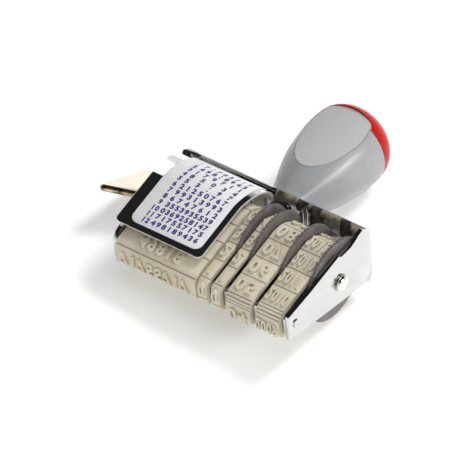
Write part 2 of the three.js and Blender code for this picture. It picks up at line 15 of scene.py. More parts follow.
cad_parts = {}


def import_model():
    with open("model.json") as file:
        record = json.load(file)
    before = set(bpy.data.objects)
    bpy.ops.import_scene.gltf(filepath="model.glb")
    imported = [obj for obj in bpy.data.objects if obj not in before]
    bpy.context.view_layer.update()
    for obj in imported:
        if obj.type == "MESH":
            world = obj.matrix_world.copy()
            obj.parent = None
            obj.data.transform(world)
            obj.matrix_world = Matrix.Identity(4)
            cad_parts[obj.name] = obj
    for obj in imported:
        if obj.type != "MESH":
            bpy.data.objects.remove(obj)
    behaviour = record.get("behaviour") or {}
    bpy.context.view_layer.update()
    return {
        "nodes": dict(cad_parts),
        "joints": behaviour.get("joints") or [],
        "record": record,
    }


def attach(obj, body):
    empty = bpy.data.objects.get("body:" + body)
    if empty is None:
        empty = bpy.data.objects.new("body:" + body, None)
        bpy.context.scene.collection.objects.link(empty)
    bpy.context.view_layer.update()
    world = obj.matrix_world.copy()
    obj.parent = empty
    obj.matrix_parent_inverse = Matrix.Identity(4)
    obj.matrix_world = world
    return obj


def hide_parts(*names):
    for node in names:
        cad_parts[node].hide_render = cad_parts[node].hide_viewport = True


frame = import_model()

RECORD = frame["record"]
NODES = frame["nodes"]
MM = 0.001

# ---- the stamp's own frame ----

rod = next(joint for joint in frame["joints"] if joint["name"] == "phrase_turn")
type_face = next(mount for mount in RECORD["mounts"] if mount["name"] == "type_face")
RIGHT = Vector(rod["axis"]).normalized()
UP = -Vector(type_face["axis"]).normalized()
REAR = UP.cross(RIGHT)
TURN = Matrix((RIGHT, REAR, UP)).transposed()
STAMP = Matrix.Translation(Vector(rod["pos_m"])) @ TURN.to_4x4() @ Matrix.Scale(MM, 4)

# ---- dimensions shared with the CAD, in millimetres ----

BELT_RADIUS = 7.8
TYPE_EDGE_Y = 2.0
TYPE_EDGE_Z = -21.2
TYPE_EDGE_RADIUS = 0.9
BELT_THICKNESS = 1.0
PAD_HEIGHT = 1.5
TYPE_HEIGHT = 2.2
CELL_PITCH = 6.4
CELL_COUNT = 12
TYPE_LENGTH = 3.9
RIB_HEIGHT = 1.45
RIB_COUNT = 3
BORE_RADIUS = 1.81
DRUM_RADIUS = 7.6
DISC_RADIUS = 12.25
HANDLE_X = 0.3
CAP_Z = 46.0
ARCH_Z = 49.3
ARCH_HALF_WIDTH = 8.0
PANEL_DEPTH = 6.2
PANEL_SLOPE = 0.098
PANEL_CROWN_RADIUS = 30.0

# each band: its edges, where the cell above the printing cell starts, and the length of its first ribbed
# stretch; a date band's disc is the thumb disc beside its drum
PHRASE_BAND = {"name": "phrase", "left": -27.1, "right": 0.2, "start": 3.2, "ribs": 0}
DATE_BANDS = [
    {"name": "day_tens", "left": 0.85, "right": 3.95, "start": 4.6, "ribs": 0, "disc": (4.1, 5.1)},
    {"name": "day_units", "left": 5.3, "right": 8.4, "start": 4.3, "ribs": 0, "disc": (8.6, 9.65)},
    {"name": "month", "left": 10.0, "right": 18.35, "start": 4.0, "ribs": 2.6, "disc": (18.55, 19.65)},
    {"name": "year", "left": 19.95, "right": 27.85, "start": 5.0, "ribs": 2.6, "disc": (28.05, 29.15)},
]

PLATE_THICKNESS = 0.6
PLATE_LEFT = -30.1                    # the wing beside the label
PLATE_EAR = -30.6                     # the ear above the wing
PLATE_RIGHT = -1.0
PLATE_CORNER = 1.6
WING_GAP_Z = (-1.75, 5.0)             # no wing and no ear between these heights
FLANGE_Y = -6.9                       # the flange under the top plate begins here
FLANGE_LEFT = -27.1
NOTCH_Y = -3.4                        # from here on the flange keeps clear of the handle's screw
NOTCH_RIGHT = -4.1
LABEL_LEFT = -26.3
LABEL_RIGHT = -2.9
LABEL_START = 1.85                    # along the plate, from its lower edge
LABEL_TOP_Z = 13.0
LABEL_CORNER = 2.2
LABEL_LIFT = 0.03
LABEL_THICKNESS = 0.15

ROUND = 0.3                           # how far a rounded edge's middle point is from the two faces


# ---- mesh helpers ----

def new_piece(name, verts, faces, material, body, smooth=None):
    """A mesh piece from stamp-frame points; edges over smooth degrees stay sharp."""
    mesh = bpy.data.meshes.new(name)
    mesh.from_pydata([tuple(v) for v in verts], [], [tuple(int(i) for i in f) for f in faces])
    mesh.transform(STAMP)
    mesh.validate()
    obj = bpy.data.objects.new(name, mesh)
    bpy.context.scene.collection.objects.link(obj)
    tidy_normals(mesh)
    if smooth is not None:
        shade(mesh, smooth)
    mesh.materials.append(material)
    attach(obj, body)
    return obj


def tidy_normals(mesh):
    bm = bmesh.new()
    bm.from_mesh(mesh)
    bmesh.ops.recalc_face_normals(bm, faces=bm.faces)
    bm.to_mesh(mesh)
    bm.free()


def shade(mesh, angle):
    mesh.shade_smooth()
    mesh.set_sharp_from_angle(angle=math.radians(angle))


class Builder:
    """Collects points and faces of one piece made of several closed shells."""

    def __init__(self):
        self.verts = []
        self.faces = []

    def add(self, verts, faces):
        start = len(self.verts)
        self.verts.extend(verts)
        self.faces.extend([[i + start for i in f] for f in faces])

    def rings(self, rings, closed_ends=True, loop=False):
        """Joins equal rings of points in order; loop joins the last to the first."""
        start = len(self.verts)
        n = len(rings[0])
        for ring in rings:
            self.verts.extend(ring)
        count = len(rings)
        for i in range(count if loop else count - 1):
            a = start + i * n
            b = start + ((i + 1) % count) * n
            for j in range(n):
                k = (j + 1) % n
                self.faces.append([a + j, a + k, b + k, b + j])
        if closed_ends and not loop:
            self.faces.append([start + j for j in range(n)][::-1])
            self.faces.append([start + (count - 1) * n + j for j in range(n)])


def lathe_x(profile, count, radius_at=None):
    """Rings about the rod's axis; profile is (x, r), and radius_at may change r round the turn."""
    rings = []
    for x, r in profile:
        ring = []
        for i in range(count):
            angle = 2 * math.pi * i / count
            radius = radius_at(r, angle) if radius_at else r
            ring.append((x, radius * math.cos(angle), radius * math.sin(angle)))
        rings.append(ring)
    return rings


def lathe_z(profile, count, cx=0.0, cy=0.0):
    return [[(cx + r * math.cos(2 * math.pi * i / count), cy + r * math.sin(2 * math.pi * i / count), z)
             for i in range(count)] for r, z in profile]


# ---- materials ----

def new_material(name, color, roughness, metallic=0.0):
    material = bpy.data.materials.new(name)
    material.use_nodes = True
    shader = material.node_tree.nodes["Principled BSDF"]
    shader.inputs["Base Color"].default_value = (*color, 1)
    shader.inputs["Roughness"].default_value = roughness
    shader.inputs["Metallic"].default_value = metallic
    return material, shader


def node(material, kind, **values):
    made = material.node_tree.nodes.new(kind)
    for key, value in values.items():
        if key in made.inputs:
            made.inputs[key].default_value = value
        else:
            setattr(made, key, value)
    return made


def noise(material, scale, detail=3.0):
    """Noise in object space; scale is in features per metre."""
    coords = node(material, "ShaderNodeTexCoord")
    texture = node(material, "ShaderNodeTexNoise", Scale=scale, Detail=detail)
    material.node_tree.links.new(coords.outputs["Object"], texture.inputs["Vector"])
    return texture.outputs["Fac"]


def ramp(material, source, stops):
    made = node(material, "ShaderNodeValToRGB")
    elements = made.color_ramp.elements
    while len(elements) < len(stops):
        elements.new(0.5)
    for element, (place, color) in zip(elements, stops):
        element.position = place
        element.color = (*color, 1)
    material.node_tree.links.new(source, made.inputs["Fac"])
    return made.outputs["Color"]


def bump(material, shader, sources, distance):
    """Adds (source, strength) heights one over another."""
    last = None
    for source, strength in sources:
        made = node(material, "ShaderNodeBump", Strength=strength, Distance=distance)
        material.node_tree.links.new(source, made.inputs["Height"])
        if last:
            material.node_tree.links.new(last.outputs["Normal"], made.inputs["Normal"])
        last = made
    material.node_tree.links.new(last.outputs["Normal"], shader.inputs["Normal"])


def vary(material, shader, socket, scale, low, high, detail=3.0, places=(0.3, 0.7)):
    """Moves a shader input between two values with noise; a number stands for a grey."""
    colors = [value if isinstance(value, tuple) else (value, value, value) for value in (low, high)]
    made = ramp(material, noise(material, scale, detail), list(zip(places, colors)))
    material.node_tree.links.new(made, shader.inputs[socket])


def metal(name, color, low, high):
    """Plated metal with faint smudges; low and high are its roughness."""
    material, shader = new_material(name, color, low, 1.0)
    dull = tuple(channel * 0.94 for channel in color)
    vary(material, shader, "Base Color", 90.0, dull, color, 2.0)
    vary(material, shader, "Roughness", 160.0, low, high, 4.0, (0.35, 0.7))
    bump(material, shader, [(noise(material, 2500.0), 0.02)], 0.00002)
    return material


def sheet_edge():
    """The plate's sheared edge: plated, but too rough to mirror."""
    material, shader = new_material("plate_edge", (0.92, 0.90, 0.86), 0.42, 0.75)
    vary(material, shader, "Roughness", 1200.0, 0.36, 0.5)
    bump(material, shader, [(noise(material, 2600.0), 0.1)], 0.00002)
    return material


def knob_rim():
    """The thumb-turn's rounded rim: a painted reflection, its base colour noised between near black and
    gold to stand for what the polished rim mirrors.
    """
    material, shader = new_material("knob_rim", (0.5, 0.4, 0.25), 0.3, 1.0)
    # dark and bright are painted reflection: the black and the gold that the rounded rim mirrors, put into
    # its colour
    dark, bright = (0.10, 0.075, 0.04), (0.72, 0.58, 0.38)
    vary(material, shader, "Base Color", 420.0, dark, bright, 3.0, (0.35, 0.62))
    vary(material, shader, "Roughness", 900.0, 0.22, 0.38)
    return material


def rubber():
    material, shader = new_material("band_rubber", (0.55, 0.505, 0.395), 0.72)
    dark, bright = (0.53, 0.48, 0.37), (0.61, 0.565, 0.45)
    vary(material, shader, "Base Color", 140.0, dark, bright, 4.0, (0.3, 0.72))
    vary(material, shader, "Roughness", 900.0, 0.62, 0.82)
    shader.inputs["Specular IOR Level"].default_value = 0.35
    grain = [(noise(material, 3800.0, 4.0), 0.35), (noise(material, 900.0), 0.25)]
    bump(material, shader, grain, 0.00006)
    return material


def wheel_plastic():
    material, shader = new_material("wheel_plastic", (0.12, 0.105, 0.10), 0.5)
    vary(material, shader, "Base Color", 300.0, (0.10, 0.088, 0.085), (0.15, 0.132, 0.126), 4.0)
    vary(material, shader, "Roughness", 1500.0, 0.42, 0.6)
    bump(material, shader, [(noise(material, 5200.0), 0.3)], 0.00006)
    return material


def handle_plastic():
    material, shader = new_material("handle_grey", (0.28, 0.283, 0.29), 0.28)
    vary(material, shader, "Base Color", 60.0, (0.27, 0.273, 0.28), (0.295, 0.298, 0.305))
    vary(material, shader, "Roughness", 90.0, 0.25, 0.31)
    bump(material, shader, [(noise(material, 1600.0, 2.0), 0.03)], 0.00003)
    return material


def panel_plastic():
    material, shader = new_material("panel_grey", (0.40, 0.40, 0.40), 0.6)
    vary(material, shader, "Base Color", 1800.0, 0.385, 0.43)
    bump(material, shader, [(noise(material, 4200.0), 0.4)], 0.00006)
    return material


def cap_plastic():
    material, shader = new_material("cap_red", (0.38, 0.005, 0.003), 0.26)
    vary(material, shader, "Base Color", 80.0, (0.35, 0.004, 0.003), (0.40, 0.006, 0.004))
    vary(material, shader, "Roughness", 500.0, 0.20, 0.27)
    shader.inputs["Specular IOR Level"].default_value = 0.14
    bump(material, shader, [(noise(material, 2200.0), 0.03)], 0.00005)
    return material


def label_paper():
    material, shader = new_material("label_paper", (0.66, 0.66, 0.66), 0.45)
    vary(material, shader, "Base Color", 400.0, (0.65, 0.65, 0.655), (0.70, 0.70, 0.705), 4.0)
    bump(material, shader, [(noise(material, 3000.0), 0.08)], 0.00004)
    return material


def print_ink():
    material, shader = new_material("print_ink", (0.025, 0.022, 0.16), 0.5)
    vary(material, shader, "Base Color", 2500.0, (0.02, 0.018, 0.13), (0.035, 0.03, 0.2))
    return material


CHROME = metal("frame_chrome", (0.61, 0.61, 0.605), 0.05, 0.11)
PLATE = metal("plate_chrome", (0.80, 0.80, 0.81), 0.035, 0.07)
PLATE_EDGE = sheet_edge()
RIM_PAINTED_REFLECTION = knob_rim()
NICKEL = metal("knob_nickel", (0.80, 0.72, 0.60), 0.08, 0.16)
ROD = metal("rod_chrome", (0.78, 0.75, 0.70), 0.06, 0.12)
STEEL = metal("plain_steel", (0.62, 0.62, 0.63), 0.2, 0.34)
RUBBER = rubber()
WHEEL = wheel_plastic()
HANDLE = handle_plastic()
PANEL = panel_plastic()
CAP = cap_plastic()
LABEL = label_paper()
INK = print_ink()


# ---- band path: the same curve as in the CAD ----

EDGE_REACH = math.hypot(TYPE_EDGE_Y, TYPE_EDGE_Z)
RUN_TILT = (math.asin((BELT_RADIUS - TYPE_EDGE_RADIUS) / EDGE_REACH)
            - math.atan2(TYPE_EDGE_Y, -TYPE_EDGE_Z))
RUN_LENGTH = math.sqrt(EDGE_REACH ** 2 - (BELT_RADIUS - TYPE_EDGE_RADIUS) ** 2)
EDGE_TURN = math.pi / 2 - RUN_TILT
DRUM_TURN = math.pi + 2 * RUN_TILT
EDGE_ARC = (TYPE_EDGE_RADIUS + BELT_THICKNESS) * EDGE_TURN
DRUM_ARC = (BELT_RADIUS + BELT_THICKNESS) * DRUM_TURN
BELT_LENGTH = 2 * TYPE_EDGE_Y + 2 * EDGE_ARC + 2 * RUN_LENGTH + DRUM_ARC


def arc_point(cy, cz, radius, angle):
    return cy + radius * math.cos(angle), cz + radius * math.sin(angle)


def belt_point(s, height):
    """(y, z) at length s along the band's outer face, at height above its inner face."""
    left = s % BELT_LENGTH
    if left <= TYPE_EDGE_Y:
        return -left, TYPE_EDGE_Z - TYPE_EDGE_RADIUS - height
    left -= TYPE_EDGE_Y
    if left <= EDGE_ARC:
        angle = -math.pi / 2 - left / EDGE_ARC * EDGE_TURN
        return arc_point(-TYPE_EDGE_Y, TYPE_EDGE_Z, TYPE_EDGE_RADIUS + height, angle)
    left -= EDGE_ARC
    front = math.pi + RUN_TILT
    if left <= RUN_LENGTH:
        y, z = arc_point(-TYPE_EDGE_Y, TYPE_EDGE_Z, TYPE_EDGE_RADIUS + height, front)
        return y - left * math.sin(RUN_TILT), z + left * math.cos(RUN_TILT)
    left -= RUN_LENGTH
    if left <= DRUM_ARC:
        return arc_point(0, 0, BELT_RADIUS + height, front - left / DRUM_ARC * DRUM_TURN)
    left -= DRUM_ARC
    if left <= RUN_LENGTH:
        y, z = arc_point(0, 0, BELT_RADIUS + height, -RUN_TILT)
        return y - left * math.sin(RUN_TILT), z - left * math.cos(RUN_TILT)
    left -= RUN_LENGTH
    if left <= EDGE_ARC:
        angle = -RUN_TILT - left / EDGE_ARC * EDGE_TURN
        return arc_point(TYPE_EDGE_Y, TYPE_EDGE_Z, TYPE_EDGE_RADIUS + height, angle)
    left -= EDGE_ARC
    return TYPE_EDGE_Y - left, TYPE_EDGE_Z - TYPE_EDGE_RADIUS - height


def on_belt(x, s, height):
    y, z = belt_point(s, height)
    return x, y, z


# ---- glyphs ----

def glyph_mesh(text, weight):
    """Triangles of a line of digits: points (u, v, w), 1 tall in v, standing on w = 0 and up to w = 1."""
    curve = bpy.data.curves.new("glyph", "FONT")
    curve.body = text
    curve.size = 1.0
    curve.extrude = 0.5
    curve.offset = weight
    curve.resolution_u = 3
    obj = bpy.data.objects.new("glyph", curve)
    bpy.context.scene.collection.objects.link(obj)
    bpy.context.view_layer.update()
    mesh = bpy.data.meshes.new_from_object(obj.evaluated_get(bpy.context.evaluated_depsgraph_get()))
    bpy.data.objects.remove(obj)
    bpy.data.curves.remove(curve)
    bm = bmesh.new()
    bm.from_mesh(mesh)
    bmesh.ops.remove_doubles(bm, verts=bm.verts, dist=1e-5)
    bmesh.ops.triangulate(bm, faces=bm.faces)
    points = np.array([v.co for v in bm.verts])
    faces = [[v.index for v in f.verts] for f in bm.faces]
    bm.free()
    bpy.data.meshes.remove(mesh)
    low, high = points.min(0), points.max(0)
    points = points - low
    points[:, :2] /= high[1] - low[1]
    points[:, 2] /= high[2] - low[2]
    return points, faces


GLYPHS = {}


def digits(text, cell, height, depth, weight):
    """A line of digits centred on u = 0 and v = 0, from w = 0 to w = depth; a 0 would be cell wide."""
    for key in (text, "0"):
        if (key, weight) not in GLYPHS:
            GLYPHS[key, weight] = glyph_mesh(key, weight)
    points, faces = GLYPHS[text, weight]
    points = points.copy()
    points[:, 0] *= cell / GLYPHS["0", weight][0][:, 0].max()
    points[:, 0] -= points[:, 0].max() / 2
    points[:, 1] = (points[:, 1] - 0.5) * height
    points[:, 2] *= depth
    return points, faces


def digit_run(count, seed):
    """A fixed run of digits that stands for a phrase."""
    return "".join(str((seed * 7 + i * 3 + i * i * seed) % 10) for i in range(count))


# ---- bands ----

BAND_EDGE = 0.18                      # rounding of a band's outer edges
BAND_STATIONS = 220
PAD_EDGE = 0.2
PAD_MARGIN = 0.1                      # from a pad to the band's sides
PAD_GAP = 0.26                        # between one pad and the next
PAD_SINK = 0.2                        # how deep a pad stands in the band
TYPE_SINK = 0.3
TYPE_WEIGHT = 0.028
TYPE_DRAFT = 0.06                     # how much wider the digits are at their foot
RIB_SHARE = 0.78                      # of the ribs' pitch
PHRASE_WIDTH = 24.0
PHRASE_LENGTHS = [8, 5, 6, 8, 8, 7, 10, 10, 9, 9, 8, 8]
PHRASE_TEXTS = [digit_run(length, i + 1) for i, length in enumerate(PHRASE_LENGTHS)]
PHRASE_PITCH = 2.9
DATE_TEXTS = {
    "day_tens": [str(i % 4) for i in range(CELL_COUNT)],
    "day_units": [str(i % 10) for i in range(CELL_COUNT)],
    "month": [f"{(i + 3) % 12 + 1:02d}" for i in range(CELL_COUNT)],
    "year": [str(2004 + (i + 5) % 12) for i in range(CELL_COUNT)],
}
DATE_PITCH = {"day_tens": 2.4, "day_units": 2.4, "month": 3.2, "year": 1.78}


def rounded_block(builder, x0, x1, s0, s1, base, top, edge, steps):
    """A pad on the belt with a rounded upper edge."""
    levels = [(0.0, base), (0.0, top - edge), (edge * ROUND, top - edge * ROUND), (edge, top)]
    rings = []
    for inset, height in levels:
        a, b = s0 + inset, s1 - inset
        along = [a + (b - a) * i / steps for i in range(steps + 1)]
        left = [on_belt(x0 + inset, s, height) for s in along]
        right = [on_belt(x1 - inset, s, height) for s in reversed(along)]
        rings.append(left + right)
    start = len(builder.verts)
    builder.rings(rings, closed_ends=False)
    n = 2 * (steps + 1)
    for level in (0, len(levels) - 1):
        first = start + level * n
        for i in range(steps):
            builder.faces.append([first + i, first + i + 1, first + n - 2 - i, first + n - 1 - i])


def belt(builder, x0, x1):
    """The plain loop of a band, with softly rounded outer edges."""
    edge = BAND_EDGE
    top = BELT_THICKNESS
    section = [(x0, 0.0), (x0, top - edge), (x0 + edge * ROUND, top - edge * ROUND), (x0 + edge, top),
               (x1 - edge, top), (x1 - edge * ROUND, top - edge * ROUND), (x1, top - edge), (x1, 0.0)]
    rings = []
    for i in range(BAND_STATIONS):
        rings.append([on_belt(x, BELT_LENGTH * i / BAND_STATIONS, h) for x, h in section])
    builder.rings(rings, loop=True)


def type_line(builder, text, centre_x, s, pitch):
    """Mirror-image digits standing on a pad; their tops point towards the printing edge."""
    base = PAD_HEIGHT - TYPE_SINK
    depth = TYPE_HEIGHT - base
    for i, digit in enumerate(text):
        points, faces = digits(digit, pitch * 0.84, TYPE_LENGTH, depth, TYPE_WEIGHT)
        centre = centre_x + pitch * (i - (len(text) - 1) / 2)
        verts = []
        for u, v, w in points:
            taper = 1.0 + TYPE_DRAFT * (1 - w / depth)
            verts.append(on_belt(centre + u * taper, s - v * taper, base + w))
        builder.add(verts, faces)


def ribs(builder, x0, x1, first, length):
    """Ribs across a stretch of the band that no cell takes."""
    for i in range(RIB_COUNT if length else 0):
        centre = first + length * (i + 0.5) / RIB_COUNT
        half = RIB_SHARE / 2 * length / RIB_COUNT
        rounded_block(builder, x0, x1, centre - half, centre + half,
                      BELT_THICKNESS - PAD_SINK, RIB_HEIGHT, min(PAD_EDGE, half * 0.5), 3)


def band(shape, texts, pitch):
    """A band with a pad and digits for each cell, and ribs between its last cell and its first."""
    builder = Builder()
    belt(builder, shape["left"], shape["right"])
    x0, x1 = shape["left"] + PAD_MARGIN, shape["right"] - PAD_MARGIN
    start, ribbed = shape["start"], shape["ribs"]
    half = (CELL_PITCH - PAD_GAP) / 2
    for i, text in enumerate(texts):
        centre = start + (i - 0.5) * CELL_PITCH - (0 if i else ribbed)
        rounded_block(builder, x0, x1, centre - half, centre + half,
                      BELT_THICKNESS - PAD_SINK, PAD_HEIGHT, PAD_EDGE, 8)
        type_line(builder, text, (x0 + x1) / 2, centre, min(pitch, PHRASE_WIDTH / len(text)))
    ribs(builder, x0, x1, start - ribbed, ribbed)
    ribs(builder, x0, x1, start + (CELL_COUNT - 1) * CELL_PITCH,
         BELT_LENGTH - CELL_COUNT * CELL_PITCH - ribbed)
    name = shape["name"]
    piece = new_piece(name + "_band_fine", builder.verts, builder.faces, RUBBER,
                      "root", 35)
    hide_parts(name + "_band")


band(PHRASE_BAND, PHRASE_TEXTS, PHRASE_PITCH)
for shape in DATE_BANDS:
    band(shape, DATE_TEXTS[shape["name"]], DATE_PITCH[shape["name"]])


# ---- wheels ----

TEETH = 60
KNURL_DEPTH = 0.34
KNURL_INNER = DISC_RADIUS - 0.95      # the disc's flat side ends here
RIM_EDGE = 0.16
DRUM_EDGE = 0.15


def knurled(radius, angle):
    if radius < KNURL_INNER + 0.05:
        return radius
    wave = 0.5 + 0.5 * math.cos(TEETH * angle)
    return radius - KNURL_DEPTH * (1 - wave ** 0.6)


def wheel(shape):
    """A drum inside its band and the knurled thumb disc beside it."""
    left = shape["left"]
    near, far = shape["disc"]
    profile = [
        (left, BORE_RADIUS), (left, DRUM_RADIUS - DRUM_EDGE), (left + DRUM_EDGE, DRUM_RADIUS),
        (near, DRUM_RADIUS), (near, KNURL_INNER), (near + 0.02, DISC_RADIUS - 0.35),
        (near + RIM_EDGE, DISC_RADIUS), (far - RIM_EDGE, DISC_RADIUS),
        (far - 0.02, DISC_RADIUS - 0.35), (far, KNURL_INNER), (far, BORE_RADIUS),
    ]
    builder = Builder()
    builder.rings(lathe_x(profile, TEETH * 8, knurled), loop=True)
    name = shape["name"]
    piece = new_piece(name + "_wheel_fine", builder.verts, builder.faces, WHEEL,
                      name + "_dial", 32)
    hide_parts(name + "_wheel")


for shape in DATE_BANDS:
    wheel(shape)


# ---- index plate and label: strips along one curved path ----

PLATE_POINTS = [
    (-7.35, -19.3), (-11.5, -2.2), (-11.75, -0.6), (-11.75, 1.2), (-11.55, 3.2), (-11.1, 5.4),
    (-10.35, 7.9), (-9.1, 10.3), (-7.9, 11.9), (-6.6, 13.1), (-5.6, 13.7), (-4.9, 13.85), (3.8, 13.85),
]
PATH_STEP = 0.25


def smooth_path(points, step):
    """The straight first and last stretches stay straight; the bend between them is a smooth curve."""
    pts = [np.array(p, float) for p in points]
    dense = []
    for i in range(len(pts) - 1):
        p0, p1, p2, p3 = pts[max(i - 1, 0)], pts[i], pts[i + 1], pts[min(i + 2, len(pts) - 1)]
        length = np.linalg.norm(p2 - p1)
        straight = i in (0, len(pts) - 2)
        count = max(2, int(length / step))
        reach1 = min(length, np.linalg.norm(p1 - p0) or length)
        reach2 = min(length, np.linalg.norm(p3 - p2) or length)
        tangent1 = (p2 - p0) / (np.linalg.norm(p2 - p0)) * (length + reach1) / 2
        tangent2 = (p3 - p1) / (np.linalg.norm(p3 - p1)) * (length + reach2) / 2
        for k in range(count):
            t = k / count
            if straight:
                dense.append(p1 + (p2 - p1) * t)
                continue
            h00 = 2 * t ** 3 - 3 * t ** 2 + 1
            h10 = t ** 3 - 2 * t ** 2 + t
            h01 = -2 * t ** 3 + 3 * t ** 2
            h11 = t ** 3 - t ** 2
            dense.append(h00 * p1 + h10 * tangent1 + h01 * p2 + h11 * tangent2)
    dense.append(pts[-1])
    return np.array(dense)


PATH = smooth_path(PLATE_POINTS, PATH_STEP)
PATH_T = np.concatenate([[0], np.cumsum(np.linalg.norm(np.diff(PATH, axis=0), axis=1))])
PATH_LENGTH = PATH_T[-1]
TANGENTS = np.gradient(PATH, axis=0)
TANGENTS /= np.linalg.norm(TANGENTS, axis=1)[:, None]
RISING = int(len(PATH) * 0.8)         # the points before the flat flange


def path_at(t):
    return np.array([np.interp(t, PATH_T, PATH[:, 0]), np.interp(t, PATH_T, PATH[:, 1])])


def path_normal(t):
    """The unit normal that points out of the plate, to the front."""
    ty = np.interp(t, PATH_T, TANGENTS[:, 0])
    tz = np.interp(t, PATH_T, TANGENTS[:, 1])
    return np.array([-tz, ty]) / math.hypot(ty, tz)


def on_plate(x, t, height):
    y, z = path_at(t) + path_normal(t) * height
    return x, y, z


def path_t_at_z(z):
    return float(np.interp(z, PATH[:RISING, 1], PATH_T[:RISING]))


def path_t_at_y(y):
    return float(PATH_T[int(np.argmax(PATH[:, 0] > y))])


def strip(builder, stations, low, high, edge):
    """A curved strip from (t, left, right) stations, between two heights, with softened side edges."""
    near = edge * ROUND
    rings = []
    for k, (t, left, right) in enumerate(stations):
        trim = edge if k in (0, len(stations) - 1) else 0.0
        lo, hi = low + trim, high - trim
        section = [(left + edge, hi), (right - edge, hi), (right - near, hi - near),
                   (right, hi - edge), (right, lo + edge), (right - near, lo + near),
                   (right - edge, lo), (left + edge, lo), (left + near, lo + near),
                   (left, lo + edge), (left, hi - edge), (left + near, hi - near)]
        rings.append([on_plate(x, t, h) for x, h in section])
    builder.rings(rings)


def corner_levels(start, radius, steps):
    """Places along the plate that follow a rounded lower corner, and one just inside its lower edge."""
    turns = [1 - math.cos(math.pi / 2 * i / steps) for i in range(steps + 1)]
    return [start + radius * turn for turn in turns] + [start + 0.02]


def corner_inset(t, start, radius):
    """How far a rounded lower corner pulls the side in at t."""
    rise = t - start
    if rise >= radius:
        return 0.0
    return radius - math.sqrt(max(0.0, radius ** 2 - (radius - rise) ** 2))


def index_plate():
    """The curved plate: a wing and an ear on the left, and a narrower flange under the top plate."""
    wing_top, ear_bottom = (path_t_at_z(z) for z in WING_GAP_Z)
    flange, notch = path_t_at_y(FLANGE_Y), path_t_at_y(NOTCH_Y)
    levels = corner_levels(0.0, PLATE_CORNER, 10)
    levels += [float(t) for t in np.arange(PLATE_CORNER + 0.5, PATH_LENGTH, 0.35)]
    levels += [PATH_LENGTH - 0.1, PATH_LENGTH]
    for step in (wing_top, ear_bottom, flange, notch):
        levels += [step - 0.01, step + 0.01]
    stations = []
    for t in sorted(levels):
        left = PLATE_LEFT
        if t >= wing_top:
            left = LABEL_LEFT - 0.2
        if t >= ear_bottom:
            left = PLATE_EAR
        if t > flange:
            left = FLANGE_LEFT
        right = NOTCH_RIGHT if t > notch else PLATE_RIGHT
        inset = corner_inset(t, 0.0, PLATE_CORNER)
        stations.append((t, left + inset, right - inset))
    builder = Builder()
    strip(builder, stations, -PLATE_THICKNESS, 0.0, 0.16)
    piece = new_piece("index_plate_fine", builder.verts, builder.faces, PLATE, "root", 30)
    piece.data.materials.append(PLATE_EDGE)
    for face in piece.data.polygons:
        across = TURN.inverted() @ face.normal
        if abs(across.x) > 0.35 or across.z < -0.85:
            face.material_index = 1
    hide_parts("index_plate")


def label():
    end = path_t_at_z(LABEL_TOP_Z)
    levels = corner_levels(LABEL_START, LABEL_CORNER, 12)
    levels += [float(t) for t in np.arange(LABEL_START + LABEL_CORNER + 0.4, end, 0.4)]
    levels += [end]
    stations = []
    for t in sorted(levels):
        inset = corner_inset(t, LABEL_START, LABEL_CORNER)
        stations.append((t, LABEL_LEFT + inset, LABEL_RIGHT - inset))
    builder = Builder()
    strip(builder, stations, LABEL_LIFT, LABEL_LIFT + LABEL_THICKNESS, 0.04)
    piece = new_piece("index_label_fine", builder.verts, builder.faces, LABEL, "root", 40)
    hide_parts("index_label")


index_plate()
label()

LINE_COUNT = 12
LINE_PITCH = 2.27
FIRST_LINE = 4.0                      # the lowest line's middle, along the plate
LINE_SKEW = 0.035                     # the print sits slightly askew
LINE_MIDDLE = -13.4
LINE_LEFT = -20.1
LINE_RIGHT = -4.8
LINE_LENGTHS = [9, 9, 10, 10, 7, 8, 8, 5, 5, 6, 8, 8]
NUMBER_X = -21.75                     # the line numbers' middle, and how far each digit moves it
NUMBER_SHIFT = -0.12
NUMBER_PITCH = 1.3
NUMBER_WIDTH = 1.12
DIGIT_WIDTH = 1.3
PRINT_HEIGHT = 1.78
PRINT_WEIGHT = 0.05
PRINT_THICKNESS = 0.03


def line_spots(number, run):
    """(digit, x, width) for a line's number and for its run of digits, spread over the full width."""
    centre = NUMBER_X + NUMBER_SHIFT * len(number)
    spots = []
    for i, digit in enumerate(number):
        spots.append((digit, centre + (i - (len(number) - 1) / 2) * NUMBER_PITCH, NUMBER_WIDTH))
    length = LINE_RIGHT - LINE_LEFT
    wide = min(DIGIT_WIDTH, length / len(run) * 0.84)
    for i, digit in enumerate(run):
        spots.append((digit, LINE_LEFT + wide / 2 + (length - wide) * i / (len(run) - 1), wide))
    return spots


def label_print():
    """Twelve numbered lines; a run of digits takes the place of each phrase."""
    builder = Builder()
    lift = LABEL_LIFT + LABEL_THICKNESS - 0.01
    for line, length in enumerate(LINE_LENGTHS):
        number = LINE_COUNT - line
        for digit, x, width in line_spots(str(number), digit_run(length, number)):
            points, faces = digits(digit, width, PRINT_HEIGHT, PRINT_THICKNESS, PRINT_WEIGHT)
            t = FIRST_LINE + line * LINE_PITCH + LINE_SKEW * (x - LINE_MIDDLE)
            builder.add([on_plate(x + u, t + v, lift + w) for u, v, w in points], faces)
    new_piece("label_print", builder.verts, builder.faces, INK, "root")


label_print()


# ---- handle ----

